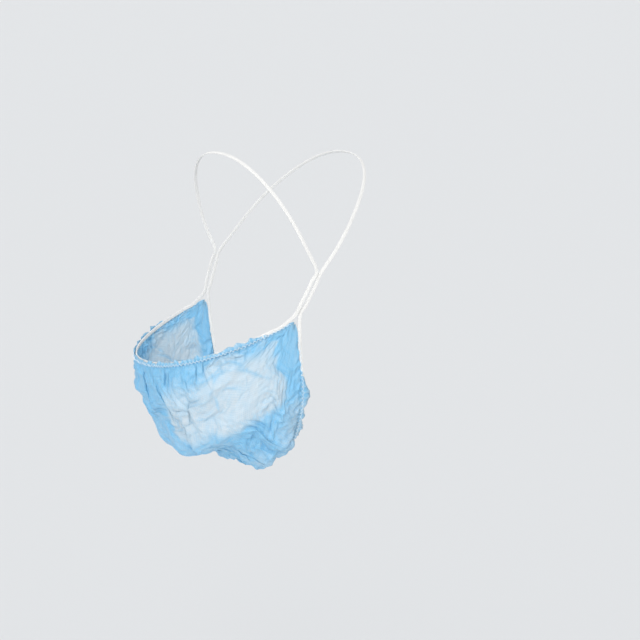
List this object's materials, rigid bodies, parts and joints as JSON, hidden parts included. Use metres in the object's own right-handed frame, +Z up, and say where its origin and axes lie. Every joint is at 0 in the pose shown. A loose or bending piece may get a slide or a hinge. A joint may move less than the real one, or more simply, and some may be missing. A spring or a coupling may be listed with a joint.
{
  "type": "disposable beard net",
  "caption": "Gathered nonwoven bag that cups the chin and jaw, held by two elastic rings that part over the crown of the head.",
  "frame": {"origin": "the point inside the bag where the underside of the wearer's chin rests", "axes": "+Z up towards the crown of the head, -Y the way the face looks, +X the wearer's left"},
  "size_m": [0.1586, 0.1649, 0.2272],
  "materials": {
    "nonwoven": "thin spunbonded polypropylene, translucent, crinkled, pale blue",
    "elastic": "narrow white covered elastic, finely ribbed, matte"
  },
  "bodies": {
    "root": {"cloth_bag": "nonwoven", "front_elastic_ring": "elastic", "rear_elastic_ring": "elastic"}
  },
  "joints": []
}
